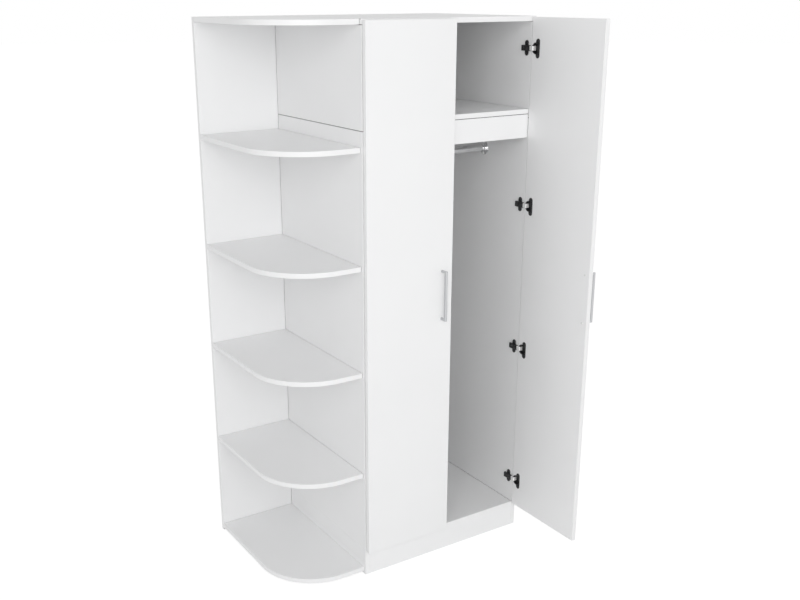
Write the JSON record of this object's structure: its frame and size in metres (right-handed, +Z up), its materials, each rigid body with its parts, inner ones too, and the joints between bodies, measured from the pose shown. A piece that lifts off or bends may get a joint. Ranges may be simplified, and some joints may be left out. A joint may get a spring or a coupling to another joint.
{
  "type": "corner wardrobe",
  "caption": "Tall white wardrobe with hinged doors on cup hinges, a hanging rod, an upper compartment and an open quarter-round shelf unit on its left end.",
  "frame": {"origin": "on the floor, at the front edge of the carcass, in the middle of the left side's thickness", "axes": "+X right along the front, +Y to the back, +Z up; the front faces -Y"},
  "size_m": [0.9593, 0.8818, 1.81],
  "materials": {
    "white_board": "satin white melamine on chipboard",
    "white_hardboard": "matte white hardboard",
    "beech": "bare",
    "black_steel": "satin black",
    "nickel": "nickel plated",
    "zinc_screw": "zinc plated",
    "satin_aluminium": "satin anodised",
    "grey_plastic": "moulded",
    "chrome": "polished"
  },
  "bodies": {
    "carcass": {"base_left_side": "white_board", "base_right_side": "white_board", "bottom_board": "white_board", "carcass_dowels": "beech", "corner_back": "white_board", "corner_bottom": "white_board", "corner_dowels": "beech", "corner_glides": "grey_plastic", "corner_shelf_1": "white_board", "corner_shelf_2": "white_board", "corner_shelf_3": "white_board", "corner_shelf_4": "white_board", "corner_top": "white_board", "front_rail": "white_board", "hanging_rod": "chrome", "left_arm_screws": "black_steel", "left_hinge_arms": "black_steel", "left_hinge_necks": "nickel", "left_hinge_plates": "black_steel", "left_plate_screws": "black_steel", "lower_back": "white_hardboard", "lower_left_side": "white_board", "lower_right_side": "white_board", "plinth_front": "white_board", "plinth_rear": "white_board", "rear_rail": "white_board", "right_arm_screws": "black_steel", "right_hinge_arms": "black_steel", "right_hinge_necks": "nickel", "right_hinge_plates": "black_steel", "right_plate_screws": "black_steel", "rod_screws": "zinc_screw", "rod_sockets": "chrome", "top_board": "white_board", "upper_back": "white_hardboard", "upper_left_side": "white_board", "upper_right_side": "white_board", "upper_shelf": "white_board"},
    "left_door": {"left_door": "white_board", "left_handle": "satin_aluminium", "left_handle_screws": "zinc_screw", "left_hinge_cups": "black_steel", "left_hinge_pins": "nickel", "left_cup_screws": "black_steel"},
    "right_door": {"right_door": "white_board", "right_handle": "satin_aluminium", "right_handle_screws": "zinc_screw", "right_hinge_cups": "black_steel", "right_hinge_pins": "nickel", "right_cup_screws": "black_steel"}
  },
  "joints": [
    {"name": "left_door_hinge", "type": "hinge", "parent": "carcass", "child": "left_door", "pos_m": [0.0017, -0.012, 0.9], "axis": [0, 0, -1], "range_deg": [0, 100]},
    {"name": "right_door_hinge", "type": "hinge", "parent": "carcass", "child": "right_door", "pos_m": [0.6323, -0.012, 0.9], "axis": [0, 0, 1], "range_deg": [-90, 10]}
  ]
}
